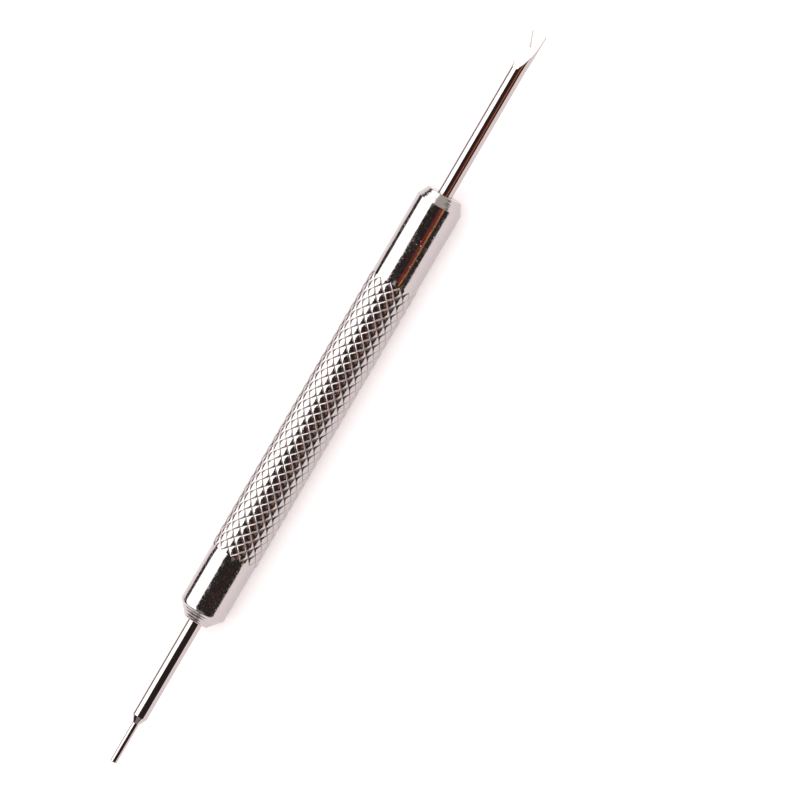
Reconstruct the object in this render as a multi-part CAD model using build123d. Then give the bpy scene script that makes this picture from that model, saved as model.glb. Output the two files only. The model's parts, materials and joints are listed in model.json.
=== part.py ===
from build123d import *
import os
from math import radians, tan

# A watchmaker's spring bar tool: a knurled handle with a forked bit screwed into one end and a
# push-pin bit screwed into the other.
#
# Frame: the tool lies along X on the plane Z = 0, resting on its knurl, which has flat-topped
# diamonds. The fork points to +X and the pin to -X. The origin is below the middle of the overall
# length. Millimetres throughout.

# Lengths along the tool
TOOL_LENGTH = 135.0
PIN_STICKS_OUT = 26.2       # pin tip to the handle's end face
FORK_STICKS_OUT = 29.7      # handle's end face to the fork's tips

# Handle
HANDLE_R = 3.95
KNURL_DIAMONDS = 13         # in one ring; each ring sits half a diamond round from the next
KNURL_FLATS_R = 4.07        # axis to the flat tops of the diamonds
PLAIN_AT_PIN = 12.4         # plain length from the pin end's face to the knurl, chamfer included
PLAIN_AT_FORK = 16.2        # the same at the fork end
PIN_CHAMFER_LENGTH = 2.2    # the pin end has a long, soft chamfer
PIN_CHAMFER_DEPTH = 1.85
PIN_CHAMFER_SHOULDER = 1.0  # rounding where the chamfer meets the handle's side
PIN_CHAMFER_LIP = 0.4       # rounding where it meets the end face
FORK_CHAMFER_LENGTH = 1.8   # the fork end has a crisp one
FORK_CHAMFER_DEPTH = 0.95

# Sockets and threaded tails, the same at both ends so that the bits can change places
ROD_R = 1.25
SEAT_DEPTH = 3.0            # the rod goes this far into the handle before its shoulder seats
THREAD_R = 1.0              # M2 x 0.4
THREAD_PITCH = 0.4
THREAD_DEPTH = 0.6134 * THREAD_PITCH
GROOVE_OVERRUN = 0.25       # share of its depth by which the thread's cutter stands out of the bar
GROOVE_HALF_WIDTH = 0.45 * THREAD_PITCH
TAIL_LENGTH = 7.0
RELIEF_LENGTH = 0.6         # plain neck between the shoulder and the first thread
TAIL_CHAMFER = 0.25
SOCKET_SPARE = 0.6          # the hole goes on past the tail's end
FIT_GAP = 0.03              # radial clearance of rod and thread in the socket
MOUTH_CHAMFER = 0.12
DRILL_POINT = 59.0          # half angle of the hole's conical bottom, degrees

# Fork
FORK_LENGTH = 6.6           # from the tips back to where the flats begin and the sides open out
FORK_BLADE_LENGTH = 2.4     # the parallel part of it, where the flats have stopped sloping
FORK_TIP_HALF_WIDTH = 1.5
FORK_TIP_THICKNESS = 0.45
NOTCH_DEPTH = 2.9
NOTCH_HALF_ANGLE = 24.0     # degrees
NOTCH_ROOT_R = 0.2

# Pin
PIN_R = 0.6
PIN_LENGTH = 7.2
PIN_CONE_LENGTH = 1.25
PIN_TIP_ROUND = 0.12

SAME_PLACE = 1e-4           # how near two measures must be to count as the same

# Worked out
PIN_FACE_X = PIN_STICKS_OUT - TOOL_LENGTH / 2
FORK_FACE_X = TOOL_LENGTH / 2 - FORK_STICKS_OUT
AXIS_HEIGHT = KNURL_FLATS_R
CLEAR = 1.0                 # how far a cutter runs past what it cuts


def turned(outline):
    """Solid of revolution about X. The outline is (x, radius) corners and starts and ends on the axis."""
    return revolve(make_face(Polyline(*outline, close=True)), Axis.X)


def edge_ring(solid, x, radius):
    """The circular edge of a turned solid at this x and radius."""
    rings = solid.edges().filter_by(GeomType.CIRCLE)
    at_x = rings.filter_by(lambda ring: abs(ring.arc_center.X - x) < SAME_PLACE)
    return at_x.filter_by(lambda ring: abs(ring.radius - radius) < SAME_PLACE)


def socket():
    """The hole for a bit, opening towards +X at x = 0: mouth, plain seat, tapped hole, drill point."""
    seat_r = ROD_R + FIT_GAP
    hole_r = THREAD_R + FIT_GAP
    hole_end = -(SEAT_DEPTH + TAIL_LENGTH + SOCKET_SPARE)
    point_end = hole_end - hole_r / tan(radians(DRILL_POINT))
    return turned([
        (CLEAR, 0),
        (CLEAR, seat_r + MOUTH_CHAMFER + CLEAR),
        (-MOUTH_CHAMFER, seat_r),
        (-SEAT_DEPTH, seat_r),
        (-SEAT_DEPTH, hole_r),
        (hole_end, hole_r),
        (point_end, 0),
    ])


def knurl_band():
    """The grip without its grooves: a prism whose sides are the flat tops of the diamonds."""
    length = FORK_FACE_X - PLAIN_AT_FORK - PIN_FACE_X - PLAIN_AT_PIN
    section = RegularPolygon(KNURL_FLATS_R, 2 * KNURL_DIAMONDS, major_radius=False)
    return Pos(PIN_FACE_X + PLAIN_AT_PIN, 0, 0) * extrude(Plane.YZ * section, amount=length)


def handle():
    """The knurled bar, from the pin end's face to the fork end's face, with a socket in each."""
    pin_face_r = HANDLE_R - PIN_CHAMFER_DEPTH
    shoulder_x = PIN_FACE_X + PIN_CHAMFER_LENGTH
    bar = turned([
        (PIN_FACE_X, 0),
        (PIN_FACE_X, pin_face_r),
        (shoulder_x, HANDLE_R),
        (FORK_FACE_X - FORK_CHAMFER_LENGTH, HANDLE_R),
        (FORK_FACE_X, HANDLE_R - FORK_CHAMFER_DEPTH),
        (FORK_FACE_X, 0),
    ])
    bar = fillet(edge_ring(bar, shoulder_x, HANDLE_R), PIN_CHAMFER_SHOULDER)
    bar = fillet(edge_ring(bar, PIN_FACE_X, pin_face_r), PIN_CHAMFER_LIP)
    fork_socket = Pos(FORK_FACE_X, 0, 0) * socket()
    pin_socket = Pos(PIN_FACE_X, 0, 0) * Rot(0, 0, 180) * socket()
    return bar + knurl_band() - fork_socket - pin_socket


def threaded_bar():
    """A bar with a right-hand helical V thread, longer at both ends than the tail that is cut from it."""
    bar_length = TAIL_LENGTH + 4 * THREAD_PITCH
    helix = Helix(pitch=THREAD_PITCH, height=bar_length - 2 * THREAD_PITCH, radius=THREAD_R)
    crest_r = THREAD_R + THREAD_DEPTH * GROOVE_OVERRUN
    section = make_face(Polyline(
        (THREAD_R - THREAD_DEPTH, 0, 0),
        (crest_r, 0, GROOVE_HALF_WIDTH),
        (crest_r, 0, -GROOVE_HALF_WIDTH),
        close=True,
    ))
    groove = Pos(0, 0, THREAD_PITCH) * sweep(section, path=helix, is_frenet=True)
    bar = Cylinder(THREAD_R, bar_length, align=(Align.CENTER, Align.CENTER, Align.MIN)) - groove
    return Pos(-TAIL_LENGTH - 2 * THREAD_PITCH, 0, 0) * Rot(0, 90, 0) * bar


def tail():
    """The threaded tail of a bit, from its shoulder at x = 0 back to x = -TAIL_LENGTH."""
    root_r = THREAD_R - THREAD_DEPTH
    envelope = turned([
        (0, 0),
        (0, root_r),
        (-RELIEF_LENGTH, root_r),
        (-RELIEF_LENGTH - THREAD_DEPTH, THREAD_R),
        (-TAIL_LENGTH + TAIL_CHAMFER, THREAD_R),
        (-TAIL_LENGTH, THREAD_R - TAIL_CHAMFER),
        (-TAIL_LENGTH, 0),
    ])
    return threaded_bar() & envelope


def fork_blank():
    """The fork bit's rod from its shoulder at x = 0, flared to the fork's width over the flats."""
    tip_x = SEAT_DEPTH + FORK_STICKS_OUT
    return turned([
        (0, 0),
        (0, ROD_R),
        (tip_x - FORK_LENGTH, ROD_R),
        (tip_x, FORK_TIP_HALF_WIDTH),
        (tip_x, 0),
    ])


def fork_flats():
    """What the two flats leave of the blank: a long prism that slopes down to a thin blade."""
    tip_x = SEAT_DEPTH + FORK_STICKS_OUT
    root_x = tip_x - FORK_LENGTH
    blade_x = tip_x - FORK_BLADE_LENGTH
    wide = FORK_TIP_HALF_WIDTH + CLEAR
    thin = FORK_TIP_THICKNESS / 2
    side = make_face(Polyline(
        (-CLEAR, 0, -wide),
        (root_x, 0, -wide),
        (root_x, 0, -ROD_R),
        (blade_x, 0, -thin),
        (tip_x, 0, -thin),
        (tip_x, 0, thin),
        (blade_x, 0, thin),
        (root_x, 0, ROD_R),
        (root_x, 0, wide),
        (-CLEAR, 0, wide),
        close=True,
    ))
    return extrude(side, amount=wide, both=True)


def fork_notch():
    """The V between the tines, with a rounded root."""
    tip_x = SEAT_DEPTH + FORK_STICKS_OUT
    root_x = tip_x - NOTCH_DEPTH
    mouth = (NOTCH_DEPTH + CLEAR) * tan(radians(NOTCH_HALF_ANGLE))
    vee = make_face(Polyline((root_x, 0), (tip_x + CLEAR, mouth), (tip_x + CLEAR, -mouth), close=True))
    vee = fillet(vee.vertices().sort_by(Axis.X)[0], NOTCH_ROOT_R)
    return extrude(vee, amount=ROD_R, both=True)


def fork_bit():
    """The fork bit in its place in the handle. Its two flats face up and down."""
    bit = (fork_blank() & fork_flats()) - fork_notch() + tail()
    return Pos(FORK_FACE_X - SEAT_DEPTH, 0, 0) * bit


def pin_bit():
    """The push-pin bit in its place in the handle, pointing to -X."""
    tip_x = SEAT_DEPTH + PIN_STICKS_OUT
    pin_root_x = tip_x - PIN_LENGTH
    bit = turned([
        (0, 0),
        (0, ROD_R),
        (pin_root_x - PIN_CONE_LENGTH, ROD_R),
        (pin_root_x, PIN_R),
        (tip_x, PIN_R),
        (tip_x, 0),
    ])
    bit = fillet(edge_ring(bit, tip_x, PIN_R), PIN_TIP_ROUND) + tail()
    return Pos(PIN_FACE_X + SEAT_DEPTH, 0, 0) * Rot(0, 0, 180) * bit


def main():
    os.makedirs("parts", exist_ok=True)
    pieces = {"handle": handle(), "fork_bit": fork_bit(), "pin_bit": pin_bit()}
    for name, piece in pieces.items():
        placed = Pos(0, 0, AXIS_HEIGHT) * piece
        export_step(placed, f"parts/{name}.step")
        size = placed.bounding_box().size
        print(f"{name}: {placed.volume:.1f} mm3, {size.X:.2f} x {size.Y:.2f} x {size.Z:.2f} mm")


main()
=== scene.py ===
# %% [markdown]
# # A spring bar tool in polished metal
#
# The real tool is three pieces: a knurled, plated handle and two steel bits that screw into its
# ends, one with a fork and one with a push pin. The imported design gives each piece's size and
# place. This script gives each of them a finished mesh and a finished metal, and then lights
# them, because bright metal mostly shows what stands around it.

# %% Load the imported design
import json
import math

import bmesh
import bpy
from mathutils import Matrix, Vector


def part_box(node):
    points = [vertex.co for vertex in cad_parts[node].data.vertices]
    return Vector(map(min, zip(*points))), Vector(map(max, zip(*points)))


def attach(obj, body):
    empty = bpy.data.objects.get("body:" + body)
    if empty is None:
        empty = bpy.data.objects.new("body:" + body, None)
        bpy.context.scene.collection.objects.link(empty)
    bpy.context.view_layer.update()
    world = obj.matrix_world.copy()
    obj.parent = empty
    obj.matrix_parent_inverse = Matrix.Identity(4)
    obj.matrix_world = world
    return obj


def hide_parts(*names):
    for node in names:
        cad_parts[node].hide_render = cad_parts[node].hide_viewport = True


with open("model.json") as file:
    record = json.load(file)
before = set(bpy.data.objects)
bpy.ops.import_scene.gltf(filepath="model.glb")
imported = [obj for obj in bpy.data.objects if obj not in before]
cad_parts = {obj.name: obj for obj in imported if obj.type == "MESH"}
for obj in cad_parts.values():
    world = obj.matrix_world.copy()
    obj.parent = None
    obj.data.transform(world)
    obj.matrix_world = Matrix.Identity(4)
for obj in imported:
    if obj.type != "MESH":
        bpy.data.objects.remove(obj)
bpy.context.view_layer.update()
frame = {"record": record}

MM = 0.001

# %% [markdown]
# ## Where everything is
#
# The tool lies along X. Its axis runs above the table at the height that the push pin's mount
# gives, and the ends of each piece come from its box. Only sizes that the boxes can't tell, such
# as the depth of the knurl, are written as numbers.

# %% Measure the design
mounts = {mount["name"]: mount for mount in frame["record"]["mounts"]}
AXIS_Z = mounts["push_pin"]["pos_m"][2]
PIN_R = mounts["push_pin"]["dims"]["r_mm"] * MM
HANDLE_R = mounts["grip_at_fork_end"]["dims"]["r_mm"] * MM
handle_low, handle_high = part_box("handle")
fork_low, fork_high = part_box("fork_bit")
pin_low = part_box("pin_bit")[0]


def wall(mount):
    """The two ends along X of a round mount's wall."""
    middle = mounts[mount]["pos_m"][0]
    half = mounts[mount]["dims"]["length_mm"] * MM / 2
    return middle - half, middle + half


knurl_start = wall("grip_at_pin_end")[1]
knurl_end = wall("grip_at_fork_end")[0]
print("knurl from", round(knurl_start / MM, 2), "to", round(knurl_end / MM, 2), "mm")

# %% [markdown]
# ## Tools of the bench
#
# Every operator acts on whatever is selected, so each step starts by clearing the selection and
# then picks points by their place. These few helpers do what a hand does in edit mode.


# %% Selection helpers
def clear_selection():
    """Leave object mode with nothing selected, whatever was going on before."""
    if bpy.context.object and bpy.context.object.mode != "OBJECT":
        bpy.ops.object.mode_set(mode="OBJECT")
    bpy.ops.object.select_all(action="DESELECT")


def pick(piece):
    """Make one object the selected and active one."""
    clear_selection()
    piece.select_set(True)
    bpy.context.view_layer.objects.active = piece


def name_new(name):
    """Name the primitive that was just added, and its mesh."""
    piece = bpy.context.object
    piece.name = name
    piece.data.name = name
    return piece


def edit(piece):
    """Open a piece in edit mode, with nothing selected."""
    pick(piece)
    bpy.ops.object.mode_set(mode="EDIT")
    bpy.ops.mesh.select_mode(type="VERT")
    bpy.ops.mesh.select_all(action="DESELECT")


def select_where(piece, test):
    """Select the points of the open piece whose place passes the test."""
    mesh = bmesh.from_edit_mesh(piece.data)
    for vert in mesh.verts:
        vert.select = bool(test(vert.co))
    mesh.select_flush(True)
    bmesh.update_edit_mesh(piece.data)


def apply_place(piece):
    """Put a piece's place, turn and size into its mesh."""
    pick(piece)
    bpy.ops.object.transform_apply(location=True, rotation=True, scale=True)


def apply_modifier(piece, kind, **settings):
    """Add a modifier, set it and apply it."""
    pick(piece)
    modifier = piece.modifiers.new(kind.title(), kind)
    for key, value in settings.items():
        setattr(modifier, key, value)
    bpy.ops.object.modifier_apply(modifier=modifier.name)


def report(piece):
    """Print what a piece came to, and how many of its edges are open."""
    mesh = bmesh.new()
    mesh.from_mesh(piece.data)
    open_edges = sum(1 for edge in mesh.edges if not edge.is_manifold)
    triangles = sum(len(face.verts) - 2 for face in mesh.faces)
    print(piece.name, triangles, "triangles,", open_edges, "open edges, volume",
          round(mesh.calc_volume() / MM ** 3, 1), "mm3")
    mesh.free()


# %% [markdown]
# ## Ring by ring, as on a lathe
#
# A turned piece is a stack of rings. The last ring is selected, extruded along the axis and
# scaled to the next radius, so the operator always carries on from where it was. A rounded
# corner is a few rings on an arc.


# %% Turning helpers
SAME_RADIUS = 1e-6 * MM


def ring_to(x, radius, ring):
    """Extrude the selected ring to x along the tool and scale it to the radius.

    The ring is given, and returned, as (x, radius).
    """
    here, now = ring
    bpy.ops.mesh.extrude_region_move(TRANSFORM_OT_translate={"value": (x - here, 0, 0)})
    if abs(radius - now) > SAME_RADIUS:
        share = radius / now
        bpy.ops.transform.resize(value=(1, share, share), center_override=(x, 0, AXIS_Z))
    return x, radius


def close_ring():
    """Extrude the selected ring in place and draw it together to a point on the axis."""
    bpy.ops.mesh.extrude_region_move(TRANSFORM_OT_translate={"value": (0, 0, 0)})
    bpy.ops.mesh.merge(type="CENTER")


def rounded(corner, before, after, radius, steps):
    """Points on the arc of this radius that rounds a corner between two others, all as (x, r)."""
    corner, before, after = Vector(corner), Vector(before), Vector(after)
    inward = (before - corner).normalized()
    onward = (after - corner).normalized()
    half = inward.angle(onward) / 2
    reach = radius / math.tan(half)
    centre = corner + (inward + onward).normalized() * radius / math.sin(half)
    start = corner + inward * reach - centre
    end = corner + onward * reach - centre
    sweep = start.angle(end)
    points = []
    for step in range(steps + 1):
        share = step / steps
        arm = start * math.sin((1 - share) * sweep) + end * math.sin(share * sweep)
        points.append(tuple(centre + arm / math.sin(sweep)))
    return points


# %% [markdown]
# ## The knurl's diamond
#
# A knurling wheel presses two crossing sets of grooves, and what stands between them is a
# diamond with steep flanks and a slightly pillowed top. It could be a bump in the material, but
# then its outline would stay smooth and every diamond would mirror the room the same way. So
# one diamond is modelled: a four-cornered circle, stretched to the pitch and divided once. Four
# insets raise it, each less steep than the last, from the flank over the rim to the crown.

# %% Model one diamond
RING_OF_DIAMONDS = 13
ROWS_OF_DIAMONDS = 27
KNURL_TOP_R = AXIS_Z
INSETS = (
    (0.06 * MM, 0.045 * MM),
    (0.12 * MM, 0.050 * MM),
    (0.17 * MM, 0.040 * MM),
    (0.18 * MM, 0.016 * MM),
)

knurl_height = sum(height for width, height in INSETS)
across = 2 * math.pi * KNURL_TOP_R / RING_OF_DIAMONDS
along = (knurl_end - knurl_start) / ROWS_OF_DIAMONDS

clear_selection()
bpy.ops.mesh.primitive_circle_add(vertices=4, radius=0.5, fill_type="NGON")
handle = name_new("knurled_handle")
bpy.ops.transform.resize(value=(across, along, 1))
apply_place(handle)
edit(handle)
bpy.ops.mesh.select_all(action="SELECT")
bpy.ops.mesh.subdivide(number_cuts=1)
for width, height in INSETS:
    bpy.ops.mesh.inset(thickness=width, depth=height, use_even_offset=True)
print("diamond", round(across / MM, 3), "x", round(along / MM, 3), "mm")

# %% [markdown]
# ## From a diamond to a grip
#
# Each ring of diamonds sits half a diamond round from the next, so the pattern repeats as a
# pair. The pair is copied in edit mode, two Array modifiers lay out the flat sheet, and a
# Simple Deform modifier rolls it up. The sheet is half a diamond longer than the round, so that
# its two zigzag edges mesh, and merging by distance closes the seam.

# %% Lay out the sheet and roll it up
MERGE = 0.002 * MM
FINE_MERGE = MERGE / 10

bpy.ops.mesh.select_all(action="SELECT")
bpy.ops.mesh.duplicate_move(TRANSFORM_OT_translate={"value": (across / 2, along / 2, 0)})
bpy.ops.object.mode_set(mode="OBJECT")
apply_modifier(handle, "ARRAY", count=RING_OF_DIAMONDS, use_relative_offset=False,
               use_constant_offset=True, constant_offset_displace=(across, 0, 0))
apply_modifier(handle, "ARRAY", count=ROWS_OF_DIAMONDS + 1, use_relative_offset=False,
               use_constant_offset=True, constant_offset_displace=(0, along, 0))
handle.rotation_euler = (math.radians(90), 0, 0)
handle.location = (0, knurl_height, 0)
apply_place(handle)
round_share = (RING_OF_DIAMONDS + 0.5) / RING_OF_DIAMONDS
apply_modifier(handle, "SIMPLE_DEFORM", deform_method="BEND", deform_axis="Z",
               angle=2 * math.pi * round_share)
handle.location = (0, -KNURL_TOP_R, 0)
apply_place(handle)
handle.rotation_euler = (0, math.radians(90), 0)
handle.location = (knurl_start, 0, AXIS_Z)
apply_place(handle)
edit(handle)
bpy.ops.mesh.select_all(action="SELECT")
bpy.ops.mesh.remove_doubles(threshold=MERGE)
print("rolled to", [round(v / MM, 2) for v in handle.dimensions], "mm,",
      2 * RING_OF_DIAMONDS * ROWS_OF_DIAMONDS, "diamonds")

# %% [markdown]
# ## The knurl runs out
#
# The wheel stops at a clean line at both ends, so the rolled sheet is bisected there, through
# the middle of a ring of diamonds. The cut ring zigzags in and out. It is extruded a fifth of a
# millimetre, and its points are pushed out to the plain handle's radius, which makes the short
# ramps in which the grooves end.

# %% Cut the knurl's ends and run them out
RUN_OUT = 0.2 * MM

for x, side in ((knurl_start, -1), (knurl_end, 1)):
    bpy.ops.mesh.select_all(action="SELECT")
    bpy.ops.mesh.bisect(plane_co=(x, 0, 0), plane_no=(side, 0, 0), clear_outer=True,
                        threshold=MERGE)


def push_to_radius(piece, radius):
    """Move the selected points straight out from the axis to this radius."""
    mesh = bmesh.from_edit_mesh(piece.data)
    for vert in mesh.verts:
        if vert.select:
            arm = Vector((0, vert.co.y, vert.co.z - AXIS_Z)).normalized() * radius
            vert.co.y = arm.y
            vert.co.z = AXIS_Z + arm.z
    bmesh.update_edit_mesh(piece.data)


def run_out(x, side):
    """Extrude the cut ring at x to a plain ring, which stays selected.

    Returns the plain ring as (x, radius).
    """
    bpy.ops.mesh.select_all(action="DESELECT")
    select_where(handle, lambda place: abs(place.x - x) < MERGE)
    bpy.ops.mesh.extrude_region_move(TRANSFORM_OT_translate={"value": (side * RUN_OUT, 0, 0)})
    push_to_radius(handle, HANDLE_R)
    return x + side * RUN_OUT, HANDLE_R


# %% [markdown]
# ## The plain ends, the chamfers and the sockets
#
# From the run-out ring the lathe goes on: along the plain end, over the chamfer, across the end
# face and down into the socket, which has a plain seat for the rod, a narrower hole for its
# threaded tail and a drill's cone at the bottom. The pin end's chamfer goes deep and has soft
# corners. The fork end's chamfer is shallower and crisp.

# %% Turn the two ends
ROD_R = 1.25 * MM
THREAD_R = 1.0 * MM
FIT_GAP = 0.03 * MM
SEAT_DEPTH = 3.0 * MM
MOUTH_CHAMFER = 0.12 * MM
SOCKET_SPARE = 0.6 * MM
DRILL_CONE = 0.6014 * MM
DRILL_TIP_R = 0.0309 * MM
PLAIN_RINGS = 6
SHOULDER_STEPS = 8
LIP_STEPS = 5
HANDLE_SMOOTH_ANGLE = math.radians(32)

PIN_FACE_R = 2.1 * MM
PIN_CHAMFER = 2.2 * MM
PIN_SHOULDER_ROUND = 1.0 * MM
PIN_LIP_ROUND = 0.4 * MM
FORK_FACE_R = 3.0 * MM
FORK_CHAMFER = 1.8 * MM
FORK_EDGE_ROUND = 0.12 * MM
RINGS_PER_MARK = 4
PIN_MARKS = 4
PIN_MARK_DEPTH = 0.055 * MM
FORK_MARKS = 4
FORK_MARK_DEPTH = 0.006 * MM

tail_length = handle_high.x - fork_low.x - SEAT_DEPTH


def socket_rings(face_x, side):
    """The rings from the end face into the socket, as (x, radius)."""
    seat_r = ROD_R + FIT_GAP
    hole_r = THREAD_R + FIT_GAP
    depth = SEAT_DEPTH + tail_length + SOCKET_SPARE
    inward = -side
    return [
        (face_x, seat_r + MOUTH_CHAMFER),
        (face_x + inward * MOUTH_CHAMFER, seat_r),
        (face_x + inward * SEAT_DEPTH, seat_r),
        (face_x + inward * SEAT_DEPTH, hole_r),
        (face_x + inward * depth, hole_r),
        (face_x + inward * (depth + DRILL_CONE), DRILL_TIP_R),
    ]


def turning_marks(start, end, count, depth):
    """Rings down a chamfer, as (x, radius), that wave in and out with this depth.

    Each wave has four rings, because with two the smooth shading would even it out.
    """
    start, end = Vector(start), Vector(end)
    slope = end - start
    inward = Vector((slope.y, -slope.x)) if slope.x > 0 else Vector((-slope.y, slope.x))
    rings = []
    for step in range(1, RINGS_PER_MARK * count):
        cut = depth * (1 - math.cos(2 * math.pi * step / RINGS_PER_MARK)) / 2
        place = start + slope * step / (RINGS_PER_MARK * count)
        rings.append(tuple(place + inward.normalized() * cut))
    return rings


def end_rings(start, face_x, face_r, chamfer, rounds, marks, side):
    """The rings from the knurl's run-out to the end face, with both corners rounded."""
    shoulder_round, lip_round = rounds
    shoulder_x = face_x - side * chamfer
    shoulder = (shoulder_x, HANDLE_R)
    lip = (face_x, face_r)
    plain_end = rounded(shoulder, start, lip, shoulder_round, SHOULDER_STEPS)
    lip_arc = rounded(lip, shoulder, (face_x, 0), lip_round, LIP_STEPS)
    length = plain_end[0][0] - start[0]
    plain = [(start[0] + length * step / PLAIN_RINGS, HANDLE_R)
             for step in range(1, PLAIN_RINGS)]
    return plain + plain_end + turning_marks(plain_end[-1], lip_arc[0], *marks) + lip_arc


def turn_end(face_x, face_r, chamfer, rounds, marks, side):
    """Turn one end of the handle, from the knurl to the bottom of the socket."""
    ring = run_out(knurl_end if side > 0 else knurl_start, side)
    outside = end_rings(ring, face_x, face_r, chamfer, rounds, marks, side)
    for x, radius in outside + socket_rings(face_x, side):
        ring = ring_to(x, radius, ring)
    close_ring()


turn_end(handle_low.x, PIN_FACE_R, PIN_CHAMFER, (PIN_SHOULDER_ROUND, PIN_LIP_ROUND),
         (PIN_MARKS, PIN_MARK_DEPTH), -1)
turn_end(handle_high.x, FORK_FACE_R, FORK_CHAMFER, (FORK_EDGE_ROUND, FORK_EDGE_ROUND),
         (FORK_MARKS, FORK_MARK_DEPTH), 1)
bpy.ops.mesh.select_all(action="SELECT")
bpy.ops.mesh.remove_doubles(threshold=MERGE / 4)
bpy.ops.mesh.normals_make_consistent(inside=False)
bpy.ops.object.mode_set(mode="OBJECT")
bpy.ops.object.shade_smooth_by_angle(angle=HANDLE_SMOOTH_ANGLE)
report(handle)

# %% [markdown]
# ## A threaded tail
#
# Each bit ends in a tail with a right-hand thread. A thread is one tooth carried round the axis
# while it moves along by its pitch, which is what the Screw modifier does. A zigzag of teeth is
# extruded from a single edge, screwed round once so that each tooth runs into the next, cut
# clean at both ends, and trimmed by a Boolean to the tail's outline, with its chamfered end and
# its plain neck. The neck is a hair thinner than the thread's root, so that no two faces of the
# Boolean fall together.

# %% Model the tail once
THREAD_PITCH = 0.4 * MM
THREAD_DEPTH = 0.245 * MM
NECK = 0.6 * MM
TAIL_CHAMFER = 0.25 * MM
NECK_OVERLAP = 0.5 * MM
NECK_UNDERCUT = 0.015 * MM
SPARE_TEETH = 3
ROUND_STEPS = 64


def new_disc(name, x, radius):
    """A filled disc of ROUND_STEPS points that faces along the tool, ready to be extruded."""
    clear_selection()
    bpy.ops.mesh.primitive_circle_add(vertices=ROUND_STEPS, radius=radius, fill_type="NGON",
                                      location=(x, 0, AXIS_Z), rotation=(0, math.radians(90), 0))
    disc = name_new(name)
    apply_place(disc)
    edit(disc)
    bpy.ops.mesh.select_all(action="SELECT")
    return disc


def turned(name, rings):
    """A closed turned piece from its rings, given as (x, radius) from one flat end to the other."""
    ring = rings[0]
    piece = new_disc(name, *ring)
    for x, radius in rings[1:]:
        ring = ring_to(x, radius, ring)
    bpy.ops.mesh.select_all(action="SELECT")
    bpy.ops.mesh.normals_make_consistent(inside=False)
    bpy.ops.object.mode_set(mode="OBJECT")
    return piece


def screwed_teeth():
    """A closed bar with the thread all along it, longer than the tail at both ends."""
    teeth = round(tail_length / THREAD_PITCH) + SPARE_TEETH
    clear_selection()
    bpy.ops.mesh.primitive_plane_add(size=THREAD_PITCH, location=(0, 0, 0))
    bar = name_new("thread_bar")
    edit(bar)
    bpy.ops.mesh.select_all(action="SELECT")
    bpy.ops.mesh.merge(type="CENTER")
    bpy.ops.mesh.select_all(action="SELECT")
    bpy.ops.transform.translate(value=(THREAD_PITCH, 0, THREAD_R - THREAD_DEPTH))
    for rise in (THREAD_DEPTH, -THREAD_DEPTH) * teeth:
        bpy.ops.mesh.extrude_region_move(
            TRANSFORM_OT_translate={"value": (-THREAD_PITCH / 2, 0, rise)})
    bpy.ops.object.mode_set(mode="OBJECT")
    apply_modifier(bar, "SCREW", axis="X", angle=2 * math.pi, screw_offset=THREAD_PITCH,
                   steps=ROUND_STEPS, render_steps=ROUND_STEPS, use_merge_vertices=False,
                   use_smooth_shade=False)
    edit(bar)
    bpy.ops.mesh.select_all(action="SELECT")
    bpy.ops.mesh.remove_doubles(threshold=MERGE)
    for x, side in ((NECK_OVERLAP / 2, 1), (-tail_length - THREAD_PITCH / 2, -1)):
        bpy.ops.mesh.select_all(action="SELECT")
        bpy.ops.mesh.bisect(plane_co=(x, 0, 0), plane_no=(side, 0, 0), clear_outer=True,
                            use_fill=True, threshold=FINE_MERGE)
    bpy.ops.mesh.select_all(action="SELECT")
    bpy.ops.mesh.normals_make_consistent(inside=False)
    bpy.ops.transform.translate(value=(0, 0, AXIS_Z))
    bpy.ops.object.mode_set(mode="OBJECT")
    return bar


tail = screwed_teeth()
report(tail)
neck_r = THREAD_R - THREAD_DEPTH - NECK_UNDERCUT
tail_outline = turned("tail_outline", [
    (NECK_OVERLAP, neck_r),
    (-NECK, neck_r),
    (-NECK - THREAD_DEPTH, THREAD_R),
    (-tail_length + TAIL_CHAMFER, THREAD_R),
    (-tail_length, THREAD_R - TAIL_CHAMFER),
])
report(tail_outline)


def combine(piece, tool, operation):
    """Apply a Boolean of the tool to the piece, and take the tool away."""
    apply_modifier(piece, "BOOLEAN", operation=operation, object=tool, solver="EXACT")
    bpy.data.objects.remove(tool)


combine(tail, tail_outline, "INTERSECT")
report(tail)

# %% [markdown]
# ## The push-pin bit
#
# A rod, a short cone and a straight pin about half as thick, with its end just broken. All of it
# is turned, so it is one stack of rings, and a copy of the tail is joined on behind its shoulder
# by a Boolean union. Both bits are made pointing along X from a shoulder at zero, and are then
# carried to their places. A Weighted Normal modifier keeps the rod's shading straight right up
# to its sharp edges, so that long reflections don't bend there.

# %% Turn the pin bit
CONE_LENGTH = 1.25 * MM
PIN_LENGTH = mounts["push_pin"]["dims"]["length_mm"] * MM
PIN_END_ROUND = wall("push_pin")[0] - pin_low.x
CONE_ROUND = 0.25 * MM
CONE_STEPS = 4
BIT_SMOOTH_ANGLE = math.radians(28)

pin_reach = SEAT_DEPTH + handle_low.x - pin_low.x
pin_root = pin_reach - PIN_END_ROUND - PIN_LENGTH
cone_start = (pin_root - CONE_LENGTH, ROD_R)
cone_end = (pin_root, PIN_R)
pin_tip = (pin_reach, PIN_R)


def tail_copy(name):
    """The tail again, with a mesh of its own."""
    copy = tail.copy()
    copy.data = tail.data.copy()
    copy.name = name
    bpy.context.collection.objects.link(copy)
    return copy


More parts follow.
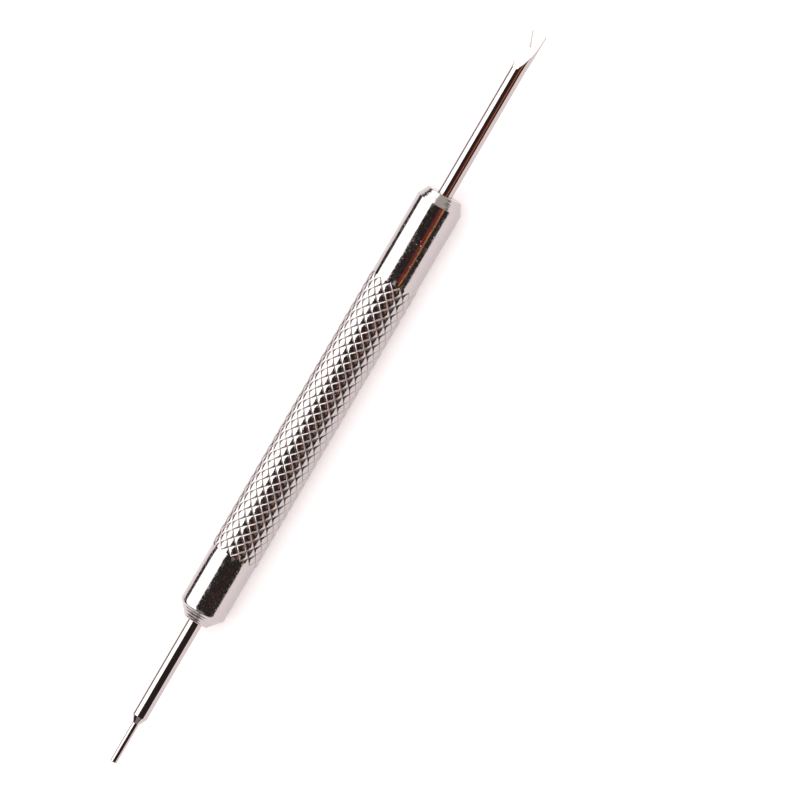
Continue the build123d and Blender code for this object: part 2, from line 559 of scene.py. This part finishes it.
def finish_bit(piece, shoulder_x, turn):
    """Join a tail to a bit, carry it to its place in the handle and smooth its shading."""
    combine(piece, tail_copy(piece.name + "_tail"), "UNION")
    piece.location = (shoulder_x, 0, 0)
    piece.rotation_euler = (0, 0, turn)
    apply_place(piece)
    edit(piece)
    bpy.ops.mesh.select_all(action="SELECT")
    bpy.ops.mesh.remove_doubles(threshold=FINE_MERGE)
    bpy.ops.mesh.normals_make_consistent(inside=False)
    bpy.ops.object.mode_set(mode="OBJECT")
    bpy.ops.object.shade_smooth_by_angle(angle=BIT_SMOOTH_ANGLE)
    apply_modifier(piece, "WEIGHTED_NORMAL", keep_sharp=True)
    report(piece)


rod_middle = cone_start[0] / 2
pin_middle = (pin_root + pin_reach) / 2
pin_bit = turned("push_pin_bit", [
    (0, ROD_R),
    (rod_middle, ROD_R),
    *rounded(cone_start, (0, ROD_R), cone_end, CONE_ROUND, CONE_STEPS),
    *rounded(cone_end, cone_start, pin_tip, CONE_ROUND, CONE_STEPS),
    (pin_middle, PIN_R),
    *rounded(pin_tip, cone_end, (pin_reach, 0), PIN_END_ROUND, LIP_STEPS),
])
finish_bit(pin_bit, handle_low.x + SEAT_DEPTH, math.pi)

# %% [markdown]
# ## The fork bit
#
# The fork starts as the same rod, opened out a little towards its end. Two flats are ground on
# it, which slope down to a thin parallel blade, and a V notch is cut between the tines. Bisects
# can't leave that hollow slope, so each cutter is a cube with one edge moved and rounded, as the
# grinding wheel rounds it, and a Boolean takes it away. The notch is cut the same way, with a
# wedge. A last fine bevel takes the knife edge off everything that was cut.

# %% Turn, grind and notch the fork
FORK_HALF_WIDTH = fork_high.y
FLAT_LENGTH = 6.6 * MM
BLADE_LENGTH = 2.4 * MM
TIP_THICKNESS = 0.45 * MM
WHEEL_ROUND = 1.2 * MM
NOTCH_DEPTH = 2.9 * MM
NOTCH_HALF_ANGLE = math.radians(24)
NOTCH_ROOT_R = 0.2 * MM
NOTCH_STEPS = 8
CUTTERS_PAST = 1.0 * MM
WHEEL_STEPS = 10
EDGE_BREAK = 0.03 * MM
BROKEN_EDGE_ANGLE = math.radians(40)
FLARE = ((1 / 3, 0.3), (2 / 3, 0.64), (1.0, 1.0))

fork_reach = fork_high.x - handle_high.x + SEAT_DEPTH
flat_start = fork_reach - FLAT_LENGTH
fork_bit = turned("fork_bit_blade", [
    (0, ROD_R),
    (flat_start / 2, ROD_R),
    (flat_start, ROD_R),
    *((flat_start + FLAT_LENGTH * along_it, ROD_R + (FORK_HALF_WIDTH - ROD_R) * out)
      for along_it, out in FLARE),
])
report(fork_bit)


def flat_cutter(side):
    """A block above (1) or below (-1) the blade, whose end slopes up to where the flat begins."""
    depth = 2 * ROD_R
    start = fork_reach - BLADE_LENGTH
    end = fork_reach + CUTTERS_PAST
    slope = (FLAT_LENGTH - BLADE_LENGTH) / (ROD_R - TIP_THICKNESS / 2)
    near = AXIS_Z + side * TIP_THICKNESS / 2
    clear_selection()
    centre = ((start + end) / 2, 0, near + side * depth / 2)
    bpy.ops.mesh.primitive_cube_add(size=1, location=centre,
                                    scale=(end - start, 4 * ROD_R, depth))
    cutter = name_new("flat_cutter")
    apply_place(cutter)
    edit(cutter)
    select_where(cutter, lambda place: place.x < start + MERGE and abs(place.z - near) > MERGE)
    bpy.ops.transform.translate(value=(-slope * depth, 0, 0))
    bpy.ops.mesh.select_all(action="DESELECT")
    select_where(cutter, lambda place: abs(place.x - start) + abs(place.z - near) < MERGE)
    bpy.ops.mesh.bevel(offset=WHEEL_ROUND, offset_type="OFFSET", segments=WHEEL_STEPS)
    bpy.ops.object.mode_set(mode="OBJECT")
    return cutter


def notch_cutter():
    """A wedge that points back along the tool, with its sharp edge rounded."""
    length = NOTCH_DEPTH + CUTTERS_PAST
    mouth = length * math.tan(NOTCH_HALF_ANGLE)
    clear_selection()
    centre = (fork_reach + CUTTERS_PAST - length / 2, 0, AXIS_Z)
    bpy.ops.mesh.primitive_cube_add(size=1, location=centre,
                                    scale=(length, 2 * mouth, 4 * ROD_R))
    cutter = name_new("notch_cutter")
    apply_place(cutter)
    edit(cutter)
    root_x = fork_reach - NOTCH_DEPTH
    select_where(cutter, lambda place: place.x < root_x + MERGE)
    bpy.ops.transform.resize(value=(1, 0, 1), center_override=(root_x, 0, AXIS_Z))
    bpy.ops.mesh.select_all(action="SELECT")
    bpy.ops.mesh.remove_doubles(threshold=MERGE)
    bpy.ops.mesh.select_all(action="DESELECT")
    select_where(cutter, lambda place: place.x < root_x + MERGE)
    bpy.ops.mesh.bevel(offset=NOTCH_ROOT_R / math.tan(NOTCH_HALF_ANGLE), segments=NOTCH_STEPS)
    bpy.ops.object.mode_set(mode="OBJECT")
    return cutter


for cutter in (flat_cutter(1), flat_cutter(-1), notch_cutter()):
    combine(fork_bit, cutter, "DIFFERENCE")
apply_modifier(fork_bit, "BEVEL", width=EDGE_BREAK, segments=2, limit_method="ANGLE",
               angle_limit=BROKEN_EDGE_ANGLE)
finish_bit(fork_bit, handle_high.x - SEAT_DEPTH, 0)
bpy.data.objects.remove(tail)

# %% [markdown]
# ## Materials: what all the metals share
#
# Polished metal has hardly any colour of its own. What tells plate from steel, and a real
# surface from a perfect one, is in how it bends the reflections: a slow ripple that makes their
# edges wander, a fine grain that breaks up the dark ones, and rings from the lathe. So each
# material is a metallic shader whose roughness and normal come from noise on Object
# coordinates, centred on the tool's axis.


# %% Material helpers
def new_metal(name, colour):
    """A material with a metallic shader. Returns it, its node tree and the shader."""
    material = bpy.data.materials.new(name)
    material.use_nodes = True
    tree = material.node_tree
    shader = tree.nodes["Principled BSDF"]
    shader.inputs["Metallic"].default_value = 1.0
    shader.inputs["Base Color"].default_value = (*colour, 1)
    return material, tree, shader


def axis_place(tree, stretch=(1, 1, 1)):
    """Object coordinates measured from the tool's axis, stretched along X, Y and Z."""
    place = tree.nodes.new("ShaderNodeTexCoord")
    move = tree.nodes.new("ShaderNodeMapping")
    move.inputs["Location"].default_value = (0, 0, -AXIS_Z * stretch[2])
    move.inputs["Scale"].default_value = stretch
    tree.links.new(place.outputs["Object"], move.inputs["Vector"])
    return move.outputs["Vector"]


def calculate(tree, operation, first, second):
    """One Math node on two values, each a socket or a number."""
    node = tree.nodes.new("ShaderNodeMath")
    node.operation = operation
    for socket, value in zip(node.inputs, (first, second)):
        if isinstance(value, (int, float)):
            socket.default_value = value
        else:
            tree.links.new(value, socket)
    return node.outputs[0]


def noise(tree, place, size, detail=2.0):
    """Soft noise from 0 to 1 whose patches are about this size, in metres."""
    node = tree.nodes.new("ShaderNodeTexNoise")
    node.inputs["Scale"].default_value = 1 / size
    node.inputs["Detail"].default_value = detail
    tree.links.new(place, node.inputs["Vector"])
    return node.outputs[0]


def spread(tree, value, low, high, from_low=0.3, from_high=0.7):
    """Map a noise value to the range from low to high."""
    node = tree.nodes.new("ShaderNodeMapRange")
    ends = {"From Min": from_low, "From Max": from_high, "To Min": low, "To Max": high}
    for name, number in ends.items():
        node.inputs[name].default_value = number
    tree.links.new(value, node.inputs["Value"])
    return node.outputs["Result"]


def bumped(tree, height, depth, onto=None):
    """Raise the surface by height times depth, in metres, on top of another Bump node."""
    node = tree.nodes.new("ShaderNodeBump")
    node.inputs["Strength"].default_value = 1.0
    node.inputs["Distance"].default_value = depth
    tree.links.new(height, node.inputs["Height"])
    if onto is not None:
        tree.links.new(onto, node.inputs["Normal"])
    return node.outputs["Normal"]


def along_and_out(tree):
    """Two values at each point: how far along the tool it is, and how far out from the axis."""
    split = tree.nodes.new("ShaderNodeSeparateXYZ")
    tree.links.new(axis_place(tree), split.inputs[0])
    x, y, z = split.outputs
    square = calculate(tree, "ADD", calculate(tree, "MULTIPLY", y, y),
                       calculate(tree, "MULTIPLY", z, z))
    return x, calculate(tree, "SQRT", square, 0)


def lathe_rings(tree):
    """A value that runs over side, chamfer and end face alike, the same all round the axis."""
    x, radius = along_and_out(tree)
    return calculate(tree, "SUBTRACT", calculate(tree, "ABSOLUTE", x, 0), radius)


def in_groove(tree):
    """1 at the bottom of the knurl's grooves, falling to 0 part of the way up their flanks."""
    x, radius = along_and_out(tree)
    bottom = KNURL_TOP_R - knurl_height
    low_down = spread(tree, radius, 1.0, 0.0, bottom, bottom + knurl_height * GROOVE_SHARE)
    on_knurl = calculate(tree, "MULTIPLY", calculate(tree, "GREATER_THAN", x, knurl_start),
                         calculate(tree, "LESS_THAN", x, knurl_end))
    return calculate(tree, "MULTIPLY", low_down, on_knurl)


def ring_noise(tree, rings, size, detail=3.0):
    """Noise that changes only from ring to ring, as turning marks do."""
    node = tree.nodes.new("ShaderNodeTexNoise")
    node.noise_dimensions = "1D"
    node.inputs["Scale"].default_value = 1 / size
    node.inputs["Detail"].default_value = detail
    tree.links.new(rings, node.inputs["W"])
    return node.outputs[0]


# %% [markdown]
# ## Bright nickel plate
#
# The handle is turned, knurled and then plated bright. Plate levels the metal but not quite, so
# reflections have wavering edges, and it gathers dull patches and a few specks of dust. It is
# duller at the bottom of the grooves, where polish doesn't reach, and darker there, which is
# painted shade. The chamfers and end faces keep their turning marks, which are noise that changes
# only from ring to ring.

# %% Plate for the handle
PLATE = (0.490, 0.455, 0.455)
# The darker groove colour and how much of it is mixed in are painted shade; the dullness is real
# roughness.
GROOVE_SHADE_COLOUR = (0.20, 0.175, 0.165)
GROOVE_SHARE = 0.4
GROOVE_SHADE_SHARE = 0.5
GROOVE_DULLNESS = 0.25


def bright_plate():
    """Plate for the grip and the plain ends, with wavering polish, dusty specks and painted shade
    in the grooves.
    """
    material, tree, shader = new_metal("bright_plate", PLATE)
    place = axis_place(tree)
    groove = in_groove(tree)
    polish = spread(tree, noise(tree, place, size=3.5 * MM, detail=4.0), low=0.05, high=0.12)
    dull = spread(tree, noise(tree, place, size=0.28 * MM, detail=5.0), low=0.0, high=0.22,
                  from_low=0.44, from_high=0.72)
    roughness = calculate(tree, "ADD", calculate(tree, "ADD", polish, dull),
                          calculate(tree, "MULTIPLY", groove, GROOVE_DULLNESS))
    tree.links.new(roughness, shader.inputs["Roughness"])
    # Painted shade: the colour is darkened towards the bottom of the knurl's grooves.
    shade = tree.nodes.new("ShaderNodeMixRGB")
    shade.inputs["Color1"].default_value = (*PLATE, 1)
    shade.inputs["Color2"].default_value = (*GROOVE_SHADE_COLOUR, 1)
    tree.links.new(calculate(tree, "MULTIPLY", groove, GROOVE_SHADE_SHARE), shade.inputs["Fac"])
    tree.links.new(shade.outputs["Color"], shader.inputs["Base Color"])
    waves = noise(tree, axis_place(tree, stretch=(1.0, 0.7, 0.7)), size=0.9 * MM)
    ripple = bumped(tree, waves, depth=0.009 * MM)
    grain = noise(tree, place, size=0.22 * MM, detail=4.0)
    fine = bumped(tree, grain, depth=0.0012 * MM, onto=ripple)
    dust = spread(tree, noise(tree, place, size=0.4 * MM, detail=0.0), low=0.0, high=1.0,
                  from_low=0.85, from_high=0.89)
    specks = bumped(tree, dust, depth=0.03 * MM, onto=fine)
    rings = ring_noise(tree, lathe_rings(tree), size=0.12 * MM)
    marks = bumped(tree, rings, depth=0.0004 * MM, onto=specks)
    tree.links.new(marks, shader.inputs["Normal"])
    return material


def turned_plate():
    """Plate for the chamfers, end faces and sockets, with coarse and fine turning marks."""
    material, tree, shader = new_metal("turned_plate", PLATE)
    rings = lathe_rings(tree)
    roughness = spread(tree, ring_noise(tree, rings, size=0.2 * MM), low=0.08, high=0.2)
    tree.links.new(roughness, shader.inputs["Roughness"])
    wide = ring_noise(tree, rings, size=0.42 * MM, detail=1.0)
    coarse = bumped(tree, wide, depth=0.035 * MM)
    narrow = ring_noise(tree, rings, size=0.07 * MM)
    fine = bumped(tree, narrow, depth=0.002 * MM, onto=coarse)
    tree.links.new(fine, shader.inputs["Normal"])
    return material


# %% [markdown]
# ## Polished steel
#
# The bits are hardened steel, polished on the lathe. Their bands of reflection run straight,
# with faint rings from the polishing stick. The flats and the notch are ground along the blade
# and are a little duller.

# %% Steel for the bits
STEEL = (0.500, 0.445, 0.440)


def polished_steel():
    """Steel for the rods, the pin and the threads, with faint rings."""
    material, tree, shader = new_metal("polished_steel", STEEL)
    place = axis_place(tree)
    roughness = spread(tree, noise(tree, place, size=2.0 * MM, detail=3.0), low=0.04, high=0.1)
    tree.links.new(roughness, shader.inputs["Roughness"])
    ripple = bumped(tree, noise(tree, place, size=1.8 * MM, detail=1.0), depth=0.0015 * MM)
    rings = ring_noise(tree, lathe_rings(tree), size=0.1 * MM)
    marks = bumped(tree, rings, depth=0.0005 * MM, onto=ripple)
    tree.links.new(marks, shader.inputs["Normal"])
    return material


def ground_steel():
    """Steel for the fork's flats and notch, with fine lines along the blade."""
    material, tree, shader = new_metal("ground_steel", STEEL)
    along_blade = axis_place(tree, stretch=(0.04, 1.0, 1.0))
    lines = noise(tree, along_blade, size=0.05 * MM, detail=4.0)
    tree.links.new(spread(tree, lines, low=0.12, high=0.3), shader.inputs["Roughness"])
    tree.links.new(bumped(tree, lines, depth=0.0012 * MM), shader.inputs["Normal"])
    return material


# %% [markdown]
# ## Which face gets which finish
#
# The handle and the fork bit carry two finishes each. Their faces are told apart by where they
# lie and which way they face, as a hand would select them. The pin bit is polished all over.


# %% Give the pieces their finishes
FLAT_FACING = 0.96
ROUND_FACING = 0.6


def give(piece, main, other, test):
    """Put the main material on a piece, and the other on the faces that pass the test."""
    piece.data.materials.clear()
    piece.data.materials.append(main)
    piece.data.materials.append(other)
    for face in piece.data.polygons:
        face.material_index = 1 if test(face.center, face.normal) else 0
    count = sum(face.material_index for face in piece.data.polygons)
    print(piece.name, count, "of", len(piece.data.polygons), "faces are", other.name)


def on_end(centre, _normal):
    """The chamfers, end faces and sockets of the handle."""
    before = handle_low.x + PIN_CHAMFER
    after = handle_high.x - FORK_CHAMFER
    return not before < centre.x < after


def on_flat(centre, normal):
    """The ground flats and the notch of the fork."""
    blade = centre.x > fork_high.x - FLAT_LENGTH
    arm = Vector((0, centre.y, centre.z - AXIS_Z)).normalized()
    return blade and (abs(normal.z) > FLAT_FACING or normal.dot(arm) < ROUND_FACING)


give(handle, bright_plate(), turned_plate(), on_end)
steel = polished_steel()
give(fork_bit, steel, ground_steel(), on_flat)
pin_bit.data.materials.clear()
pin_bit.data.materials.append(steel)
for piece, node, material_slot in (
    (handle, "handle", "plated_handle"),
    (fork_bit, "fork_bit", "polished_steel"),
    (pin_bit, "pin_bit", "polished_steel"),
):
    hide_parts(node)
    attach(piece, node)

# %% [markdown]
# ## The table
#
# A plain white sheet that reaches well past the view. It matters twice: the tool stands out
# against it, and its reflection makes the two pale bands along the lower sides of every round
# part. It glows a little, as a light table does, which all but washes out the tool's shadow.

# %% Lay the sheet
SHEET = 6.0
PAPER = (0.86, 0.84, 0.835)
PAPER_GLOW = (1.0, 0.93, 0.935)
GLOW_STRENGTH = 0.33

clear_selection()
bpy.ops.mesh.primitive_plane_add(size=SHEET, location=(0, 0, 0))
table = name_new("table")
paper = bpy.data.materials.new("white_paper")
paper.use_nodes = True
for socket, value in {
    "Base Color": (*PAPER, 1),
    "Roughness": 0.9,
    "Specular IOR Level": 0.0,
    "Emission Color": (*PAPER_GLOW, 1),
    "Emission Strength": GLOW_STRENGTH,
}.items():
    paper.node_tree.nodes["Principled BSDF"].inputs[socket].default_value = value
table.data.materials.append(paper)
print("sheet", SHEET, "m square")

# %% [markdown]
# ## The camera
#
# The camera looks down at the tool from the side of its right-hand edge, 28 degrees off the
# vertical, and is rolled so that the fork points up and to the right. A long lens keeps the
# handle's sides parallel.

# %% Place the camera
LENS = 600
SENSOR = 36
VIEW_WIDTH = 127.3 * MM
AIM_RIGHT = 11.85 * MM
AIM_UP = -0.16 * MM
TOOL_SLOPE = math.radians(59.65)
TOWARDS_CAMERA = (0.1045, -0.467, 0.878)

back = Vector(TOWARDS_CAMERA).normalized()
axis_seen = (Vector((1, 0, 0)) - back * back.x).normalized()
beside = axis_seen.cross(back)
right = axis_seen * math.cos(TOOL_SLOPE) + beside * math.sin(TOOL_SLOPE)
up = axis_seen * math.sin(TOOL_SLOPE) - beside * math.cos(TOOL_SLOPE)
middle = Vector(((pin_low.x + fork_high.x) / 2, 0, AXIS_Z))
aim = middle + right * AIM_RIGHT + up * AIM_UP
distance = VIEW_WIDTH * LENS / SENSOR

camera_data = bpy.data.cameras.new("camera")
camera_data.lens = LENS
camera_data.sensor_width = SENSOR
camera_data.clip_start = 0.01
camera_data.clip_end = 20.0
camera = bpy.data.objects.new("camera", camera_data)
bpy.context.collection.objects.link(camera)
turn = Matrix((right, up, back)).transposed().to_4x4()
camera.matrix_world = Matrix.Translation(aim + back * distance) @ turn
bpy.context.scene.camera = camera
print("camera", [round(v, 4) for v in camera.location], "distance", round(distance, 3))

# %% [markdown]
# ## The light
#
# Bright metal is lit by what it mirrors, so the light is a set of glowing cards placed where
# each band of reflection needs one. A large soft box hangs over the far side, from a little
# above the horizon to nearly overhead, and makes the pure white band. The gap between its lower
# edge and the horizon leaves the dark stripe at the far edge. The rest of the room is dim and
# makes the broad dark band down the middle, crossed by the reflections of a red and a tan strip.
# A card off each end brightens the two chamfers.
#
# Light linking lets the cards reach the tool only, so they throw no shadow on the sheet, which
# has its own even light from the room. The pin bit has a shorter soft box of its own, whose end
# leaves half of its cone dark.

# %% Make the cards
CARD_DISTANCE = 0.8


def lit_group(name, pieces):
    """A collection of the pieces that a light may fall on."""
    group = bpy.data.collections.new(name)
    for piece in pieces:
        group.objects.link(piece)
    return group


whole_tool = lit_group("whole_tool", (handle, fork_bit, pin_bit))
handle_and_fork = lit_group("handle_and_fork", (handle, fork_bit))
pin_only = lit_group("pin_only", (pin_bit,))


def card(name, away, length, height, brightness, colour, shift=0.0, lit=whole_tool):
    """A glowing card that faces the tool from a direction, and lights these pieces only."""
    data = bpy.data.lights.new(name, "AREA")
    data.shape = "RECTANGLE"
    data.size = length
    data.size_y = height
    data.energy = brightness * math.pi * length * height
    data.color = colour
    lamp = bpy.data.objects.new(name, data)
    bpy.context.collection.objects.link(lamp)
    away = Vector(away).normalized()
    lamp.location = middle + away * CARD_DISTANCE + Vector((shift, 0, 0))
    lamp.rotation_mode = "QUATERNION"
    lamp.rotation_quaternion = away.to_track_quat("Z", "Y")
    lamp.visible_camera = False
    lamp.light_linking.receiver_collection = lit
    print(name, [round(v, 3) for v in lamp.location], round(length, 3), "x", round(height, 3), "m")
    return lamp


def card_height(low, high):
    """How high a card must be to fill these angles, seen from the tool."""
    return 2 * CARD_DISTANCE * math.tan((high - low) / 2)


# %% Hang the two soft boxes
BOX_LOW = math.radians(24)
BOX_HIGH = math.radians(86)
BOX_LENGTH = 2.4
BOX_BRIGHTNESS = 2.8
BOX_COLOUR = (1.0, 0.985, 0.975)
SHORT_BOX_REACH = CARD_DISTANCE * math.tan(math.radians(38))

box_tilt = (BOX_LOW + BOX_HIGH) / 2
box_away = (0, math.cos(box_tilt), math.sin(box_tilt))
box_height = card_height(BOX_LOW, BOX_HIGH)
card("soft_box", box_away, BOX_LENGTH, box_height, BOX_BRIGHTNESS, BOX_COLOUR,
     lit=handle_and_fork)
card("short_box", box_away, BOX_LENGTH / 2 + SHORT_BOX_REACH, box_height, BOX_BRIGHTNESS,
     BOX_COLOUR, shift=(BOX_LENGTH / 2 - SHORT_BOX_REACH) / 2, lit=pin_only)

# %% Hang the strips and the end cards
RED = (1.0, 0.04, 0.04)
RED_TILT = math.radians(42)
RED_HEIGHT = 0.16
RED_BRIGHTNESS = 0.32
TAN = (1.0, 0.45, 0.17)
TAN_TILT = math.radians(30)
TAN_HEIGHT = 0.10
TAN_BRIGHTNESS = 0.75
STRIP_LENGTH = 0.36
STRIP_START = -0.064
FORK_END_AWAY = (0.79, -0.29, 0.54)
FORK_END_SIZE = (0.7, 1.0)
FORK_END_BRIGHTNESS = 0.62
FORK_END_COLOUR = (1.0, 0.96, 0.86)
PIN_END_AWAY = (-0.80, -0.15, 0.52)
PIN_END_SIZE = (0.7, 0.6)
PIN_END_BRIGHTNESS = 0.3
PIN_END_COLOUR = (1.0, 0.95, 0.90)

for name, tilt, height, brightness, colour in (
    ("red_strip", RED_TILT, RED_HEIGHT, RED_BRIGHTNESS, RED),
    ("tan_strip", TAN_TILT, TAN_HEIGHT, TAN_BRIGHTNESS, TAN),
):
    card(name, (0, -math.cos(tilt), math.sin(tilt)), STRIP_LENGTH, height, brightness, colour,
         shift=STRIP_START + STRIP_LENGTH / 2)
card("fork_end_card", FORK_END_AWAY, *FORK_END_SIZE, FORK_END_BRIGHTNESS, FORK_END_COLOUR)
card("pin_end_card", PIN_END_AWAY, *PIN_END_SIZE, PIN_END_BRIGHTNESS, PIN_END_COLOUR)

# %% [markdown]
# ## The room
#
# The room is one plain glow, but a different one for each kind of ray: bright on the sheet, dim
# in the metal's mirror, and pale behind everything where a low view looks past the sheet.

# %% Light the room
IN_THE_METAL = (0.038, 0.031, 0.028)
ON_THE_PAPER = (1.0, 0.95, 0.955)
PAPER_LIGHT = 1.27
BACKDROP = (0.97, 0.965, 0.96)

world = bpy.data.worlds.new("room")
bpy.context.scene.world = world
world.use_nodes = True
room = world.node_tree
room.nodes.clear()
out = room.nodes.new("ShaderNodeOutputWorld")
rays = room.nodes.new("ShaderNodeLightPath")


def glow(colour, strength):
    """A background of one colour."""
    node = room.nodes.new("ShaderNodeBackground")
    node.inputs["Color"].default_value = (*colour, 1)
    node.inputs["Strength"].default_value = strength
    return node.outputs[0]


def either(switch, no, yes):
    """One background or the other, by the kind of ray."""
    mix = room.nodes.new("ShaderNodeMixShader")
    room.links.new(switch, mix.inputs[0])
    room.links.new(no, mix.inputs[1])
    room.links.new(yes, mix.inputs[2])
    return mix.outputs[0]


dim = glow(IN_THE_METAL, 1.0)
on_paper = glow(ON_THE_PAPER, PAPER_LIGHT)
backdrop = glow(BACKDROP, 1.0)
lit = either(rays.outputs["Is Diffuse Ray"], dim, on_paper)
room.links.new(either(rays.outputs["Is Camera Ray"], lit, backdrop), out.inputs["Surface"])
bpy.context.scene.view_settings.view_transform = "Standard"
print("room", len(room.nodes), "nodes")
